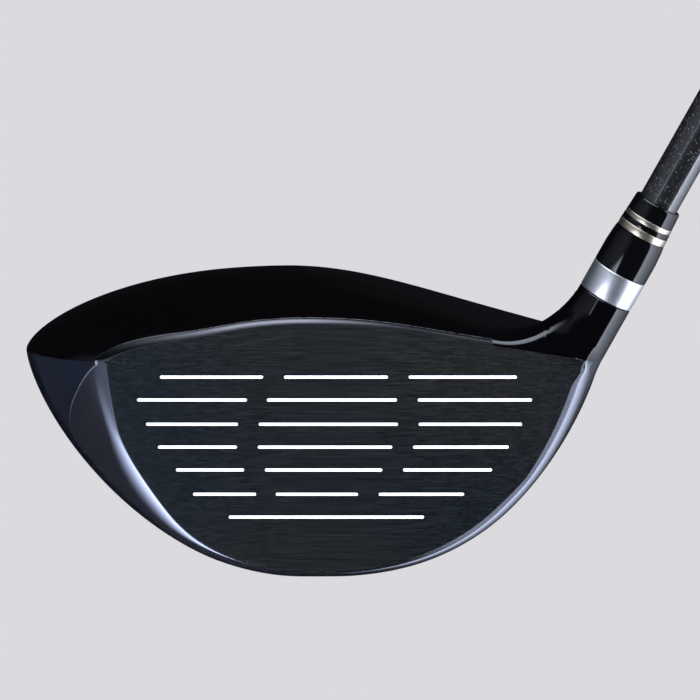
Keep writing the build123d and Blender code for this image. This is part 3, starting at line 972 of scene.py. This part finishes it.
def grip_finish():
    """Matt rubber with a moulded diamond texture."""
    paint = Paint("grip_rubber")
    waves = []
    for lean in (0.6, -0.6):
        mapping = paint.tree.nodes.new("ShaderNodeMapping")
        mapping.inputs["Rotation"].default_value = (0, math.pi / 2 - LIE + lean, 0)
        wave = paint.tree.nodes.new("ShaderNodeTexWave")
        wave.bands_direction = "Z"
        wave.inputs["Scale"].default_value = 130.0
        paint.link(paint.coords.outputs["Object"], mapping.inputs["Vector"])
        paint.link(mapping.outputs["Vector"], wave.inputs["Vector"])
        waves.append(wave.outputs["Fac"])
    diamonds = paint.math("MULTIPLY", waves[0], waves[1])
    grain = paint.noise(1500)
    paint.colour(paint.blend(grain, (0.012, 0.012, 0.013), (0.03, 0.03, 0.032)))
    paint.rough(paint.spread(grain, 0.3, 0.7, 0.6, 0.8))
    paint.bump(paint.math("ADD", diamonds, paint.math("MULTIPLY", grain, 0.3)), 0.6, 3e-4)
    return paint.made


# ---- the driver ----------------------------------------------------

def build_head():
    points, faces = head_surface()
    middle = points[faces].mean(axis=1)
    station, radius = hosel_coordinates(middle)
    cup = cup_side(middle) < 0
    crown = crown_side(middle) > 0
    mouth = port_side(middle) < 0
    top = (station > NECK_CUT) & (radius < NECK_CUT_REACH)
    neck = crown & ~cup & (neck_side(middle) < 0)
    shell_piece("face_cup", points, faces[cup], "face_cup", "face_metal", brushed_face(), WALL)
    black = lacquer("crown_lacquer", (0.0005, 0.0004, 0.0005), (0.0009, 0.0008, 0.0009))
    crown_faces = faces[crown & ~cup & ~neck]
    shell_piece("crown", points, crown_faces, "crown_shell", "crown_gloss", black, THIN_WALL)
    neck_black = lacquer("neck_lacquer", (0.0005, 0.0004, 0.0006), (0.0009, 0.0008, 0.0011))
    shell_piece("neck", points, faces[neck & ~top], "hosel_neck", "neck_gloss", neck_black, THIN_WALL)
    rim = [(NECK_BORE, NECK_CUT), (HOSEL_RADIUS, NECK_CUT), (HOSEL_RADIUS, NECK_TOP - 0.3)]
    rim += [(HOSEL_RADIUS - 0.3, NECK_TOP), (NECK_BORE, NECK_TOP)]
    lathe("neck_top", rim, "hosel_neck", "neck_gloss", neck_black)
    navy = lacquer("body_lacquer", (0.0035, 0.0045, 0.0080), (0.0050, 0.0062, 0.0110), 0.08)
    body_faces = faces[~crown & ~cup & ~mouth]
    shell_piece("body", points, body_faces, "body_shell", "body_gloss", navy, WALL)
    floor = [(PORT_HOLE, -PORT_FLOOR - 1.2), (PORT_FLOOR_RADIUS, -PORT_FLOOR - 1.2)]
    floor += [(PORT_FLOOR_RADIUS, -PORT_FLOOR), (PORT_HOLE, -PORT_FLOOR)]
    lathe("port_floor", floor, "body_shell", "body_gloss", navy, port_matrix())
    score_lines(plain("score_paint", (0.72, 0.73, 0.76), (0.86, 0.87, 0.90), 0.45, scale=3000.0))


def port_matrix():
    side = Vector((1, 0, 0))
    axis = Vector(PORT_AXIS)
    turn = Matrix((side, axis.cross(side), axis)).transposed().to_4x4()
    return HEAD @ Matrix.Translation(Vector(PORT_POINT)) @ turn


def build_hosel():
    satin = turned_metal("satin_collar", (0.50, 0.51, 0.53), (0.58, 0.59, 0.61), 0.38)
    collar = ring_profile(HOSEL_RADIUS, SHAFT_BORE, NECK_TOP, COLLAR_TOP, 0.25)
    lathe("hosel_collar", collar, "hosel_collar", "collar_satin", satin)
    plastic = lacquer("ferrule_plastic", (0.0008, 0.0008, 0.0009), (0.0014, 0.0014, 0.0016), 0.07)
    base = [(SHAFT_BORE, COLLAR_TOP), *FERRULE_SIDE, (SPIGOT_RADIUS, FERRULE_TOP)]
    base += [(SPIGOT_RADIUS, NARROW_RING_TOP), (SHAFT_BORE, NARROW_RING_TOP)]
    lathe("ferrule_base", base, "ferrule_base", "ferrule_plastic", plastic)
    trim = turned_metal("champagne_trim", (0.38, 0.33, 0.26), (0.50, 0.44, 0.36), 0.34)
    rings = (
        ("trim_ring_wide", 5.5, FERRULE_TOP, WIDE_RING_TOP, "trim_metal", trim),
        ("ferrule_spacer", 5.42, WIDE_RING_TOP, SPACER_TOP, "ferrule_plastic", plastic),
        ("trim_ring_narrow", 5.35, SPACER_TOP, NARROW_RING_TOP, "trim_metal", trim),
    )
    for name, radius, low, high, slot, material in rings:
        lathe(name, ring_profile(radius, SPIGOT_RADIUS, low, high), name, slot, material)
    cap = [(SHAFT_BORE, NARROW_RING_TOP), *CAP_SIDE, (SHAFT_BORE, CAP_TOP)]
    lathe("ferrule_cap", cap, "ferrule_cap", "ferrule_plastic", plastic)


def build_shaft():
    shaft = [(SHAFT_TIP_BORE, SHAFT_START), (SHAFT_TIP_RADIUS - 0.2, SHAFT_START)]
    shaft += [(SHAFT_TIP_RADIUS, SHAFT_START + 0.2), (SHAFT_TIP_RADIUS, SHAFT_TAPER_START)]
    shaft += [(SHAFT_BUTT_RADIUS, SHAFT_END), (SHAFT_BUTT_BORE, SHAFT_END)]
    shaft += [(SHAFT_TIP_BORE, SHAFT_TAPER_START)]
    lathe("shaft", shaft, "shaft", "shaft_paint", shaft_finish())
    start = BUTT - GRIP_LENGTH
    grip = [(7.04, start), (8.0, start), (8.35, BUTT - 267.9)]
    grip += [(radius, BUTT - below) for radius, below in GRIP_SIDE]
    grip += [(11.0, BUTT), (VENT_RADIUS + 0.1, BUTT), (VENT_RADIUS, BUTT - 0.1)]
    grip += [(VENT_RADIUS, BUTT - 4), (7.8, BUTT - 4)]
    lathe("grip", grip, "grip", "grip_rubber", grip_finish())


def paint_hidden():
    """Materials of the CAD parts that are shown as they are."""
    steel = plain("slug_steel", (0.30, 0.30, 0.32), (0.42, 0.42, 0.45), 0.3, 1.0, 1800.0)
    oxide = plain("screw_oxide", (0.05, 0.05, 0.055), (0.10, 0.10, 0.11), 0.35, 1.0, 2200.0)
    finishes = {
        "hosel_epoxy": ("glue", plain("epoxy", (0.48, 0.43, 0.33), (0.60, 0.55, 0.44), 0.4)),
        "hosel_plug": ("plug_metal", plain("plug", (0.5, 0.5, 0.5), (0.65, 0.65, 0.65), 0.35, 1.0)),
        "tip_weight": ("pin_metal", plain("pin", (0.5, 0.4, 0.2), (0.65, 0.52, 0.3), 0.3, 1.0)),
        "grip_tape": ("tape_paper", plain("tape", (0.6, 0.58, 0.5), (0.75, 0.72, 0.64), 0.8)),
        "hot_melt_pad": ("hot_melt", plain("melt", (0.65, 0.58, 0.4), (0.8, 0.72, 0.54), 0.35)),
        "weight_slug": ("slug_metal", steel),
        "weight_screw": ("screw_metal", oxide),
        "screw_clip": ("screw_metal", oxide),
        "weight_gasket": ("gasket_rubber", plain("gasket", (0.02, 0.02, 0.02), (0.04, 0.04, 0.04), 0.7)),
    }
    for name, (slot, made) in finishes.items():
        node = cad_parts[name]
        node.data.materials.clear()
        node.data.materials.append(made)


# ---- camera and light ----------------------------------------------

CAMERA_DISTANCE = 3000.0
FRAME_WIDTH = 147.0
SENSOR_WIDTH = 36.0
AIM = (3.15, 0.0, 20.4)
BACKDROP = (0.708, 0.701, 0.730)
SOFTBOX_TARGET = (0, 30, 10)
SOFTBOX_DISTANCE_METRES = 2.6
FLOOR_REACH_METRES = 20.0
SKY_TINT = (0.78, 0.85, 1.0)
OVERHEAD = (0, -0.42, 0.91)
AMBIENT = 0.006
# Panels of the studio sky: first and last azimuth with the width of the first edge, in degrees from the
# camera's side toward the heel, then how steeply they fade, the heights they lie between and strength.
SKY_PANELS = [
    ((56, 185, 5), 3.0, (-0.93, 0.3), 11.0),
    ((-24, -98, 4), 4.0, (-0.6, -0.03), 14.0),
    ((-40, -150, 20), 0.3, (-0.93, -0.08), 0.09),
    ((-12, -112, 30), 0.8, (0.18, 0.6), 0.6),
]


def add_camera():
    data = bpy.data.cameras.new("camera")
    data.sensor_width = SENSOR_WIDTH
    data.lens = SENSOR_WIDTH * CAMERA_DISTANCE / FRAME_WIDTH
    data.clip_start = 0.1
    data.clip_end = 50.0
    camera = bpy.data.objects.new("camera", data)
    bpy.context.scene.collection.objects.link(camera)
    turn = HEAD.to_3x3().normalized()
    right = turn.col[0]
    back = -turn.col[1]
    up = turn.col[2]
    place_at = Matrix.Translation(HEAD @ Vector(AIM) + back * CAMERA_DISTANCE * MM)
    camera.matrix_world = place_at @ Matrix((right, up, back)).transposed().to_4x4()
    bpy.context.scene.camera = camera


def softbox(name, elevation, width, height, power):
    """Large soft light in front of the head, for matt surfaces only."""
    light = bpy.data.lights.new(name, "AREA")
    light.shape = "RECTANGLE"
    light.size = width
    light.size_y = height
    light.energy = power
    obj = bpy.data.objects.new(name, light)
    bpy.context.scene.collection.objects.link(obj)
    lift = math.radians(elevation)
    out = Vector((0, -math.cos(lift), math.sin(lift)))
    obj.location = HEAD @ Vector(SOFTBOX_TARGET) + out * SOFTBOX_DISTANCE_METRES
    obj.rotation_euler = out.to_track_quat("Z", "Y").to_euler()
    obj.visible_camera = False
    obj.visible_glossy = False


def add_lights():
    """Broad lights that only reach matt surfaces. Reflections come from the studio world."""
    softbox("front_softbox", 25.0, 3.0, 2.0, 44.0)
    softbox("top_softbox", 80.0, 2.4, 2.4, 50.0)


class Sky(Graph):
    """Studio surroundings as smooth bright panels, placed by direction in the world."""

    def __init__(self, tree):
        super().__init__(tree)
        self.direction = self.coords.outputs["Generated"]
        split = tree.nodes.new("ShaderNodeSeparateXYZ")
        self.link(self.direction, split.inputs[0])
        self.height = split.outputs[2]
        self.azimuth = self.math("ARCTAN2", split.outputs[0], self.math("MULTIPLY", split.outputs[1], -1.0))

    def panel(self, azimuths, fade, heights, strength):
        """Bright from the first azimuth, fading out by the last, between two heights."""
        first, last, edge = azimuths
        side = 1 if last > first else -1
        angle = self.math("MULTIPLY", self.azimuth, side * 180 / math.pi)
        full = side * (first + side * edge)
        rise = self.spread(angle, side * first, full, 0, 1, smooth=True)
        fall = self.math("POWER", self.spread(angle, full, side * last, 1, 0), fade)
        low = self.spread(self.height, heights[0] - 0.12, heights[0], 0, 1, smooth=True)
        high = self.spread(self.height, heights[1], heights[1] + 0.18, 1, 0, smooth=True)
        across = self.math("MULTIPLY", rise, fall)
        upright = self.math("MULTIPLY", low, high)
        return self.math("MULTIPLY", self.math("MULTIPLY", across, upright), strength)

    def spot(self, axis, wide, full, strength):
        """Round soft light about an axis, full within one cosine of it and gone by the other."""
        dot = self.vector("DOT_PRODUCT")
        dot.inputs[1].default_value = axis
        self.link(self.direction, dot.inputs[0])
        return self.spread(dot.outputs["Value"], wide, full, 0, strength, smooth=True)


def backdrop_material():
    """Pale floor. Seen directly it is even, and it lights the piece softly."""
    made = bpy.data.materials.new("pale_floor")
    made.use_nodes = True
    nodes = made.node_tree.nodes
    link = made.node_tree.links.new
    diffuse = nodes["Principled BSDF"]
    diffuse.inputs["Base Color"].default_value = (*BACKDROP, 1)
    diffuse.inputs["Roughness"].default_value = 0.9
    glow = nodes.new("ShaderNodeEmission")
    glow.inputs["Color"].default_value = (*BACKDROP, 1)
    path = nodes.new("ShaderNodeLightPath")
    mix = nodes.new("ShaderNodeMixShader")
    link(path.outputs["Is Camera Ray"], mix.inputs[0])
    link(diffuse.outputs[0], mix.inputs[1])
    link(glow.outputs[0], mix.inputs[2])
    link(mix.outputs[0], nodes["Material Output"].inputs["Surface"])
    return made


def add_floor():
    signs = ((-1, -1), (1, -1), (1, 1), (-1, 1))
    corners = [(x * FLOOR_REACH_METRES, y * FLOOR_REACH_METRES, 0) for x, y in signs]
    mesh = bpy.data.meshes.new("floor")
    mesh.from_pydata(corners, [], [(0, 1, 2, 3)])
    mesh.materials.append(backdrop_material())
    floor = bpy.data.objects.new("floor", mesh)
    bpy.context.scene.collection.objects.link(floor)
    floor.visible_glossy = False
    floor.visible_shadow = False


def add_world():
    """Even backdrop for the camera. Everything else sees the studio panels."""
    world = bpy.data.worlds.new("studio")
    bpy.context.scene.world = world
    world.use_nodes = True
    nodes = world.node_tree.nodes
    link = world.node_tree.links.new
    seen = nodes["Background"]
    seen.inputs["Color"].default_value = (*BACKDROP, 1)
    sky = Sky(world.node_tree)
    total = AMBIENT
    for panel in SKY_PANELS:
        total = sky.math("ADD", total, sky.panel(*panel))
    overhead = tuple((HEAD.to_3x3() @ Vector(OVERHEAD)).normalized())
    total = sky.math("ADD", total, sky.spot(overhead, 0.80, 0.96, 10.0))
    dim = nodes.new("ShaderNodeBackground")
    dim.inputs["Color"].default_value = (*SKY_TINT, 1)
    link(total, dim.inputs["Strength"])
    path = nodes.new("ShaderNodeLightPath")
    mix = nodes.new("ShaderNodeMixShader")
    link(path.outputs["Is Camera Ray"], mix.inputs[0])
    link(dim.outputs[0], mix.inputs[1])
    link(seen.outputs[0], mix.inputs[2])
    link(mix.outputs[0], nodes["World Output"].inputs["Surface"])
    bpy.context.scene.view_settings.view_transform = "Standard"


build_head()
build_hosel()
build_shaft()
paint_hidden()
add_camera()
add_lights()
add_floor()
add_world()
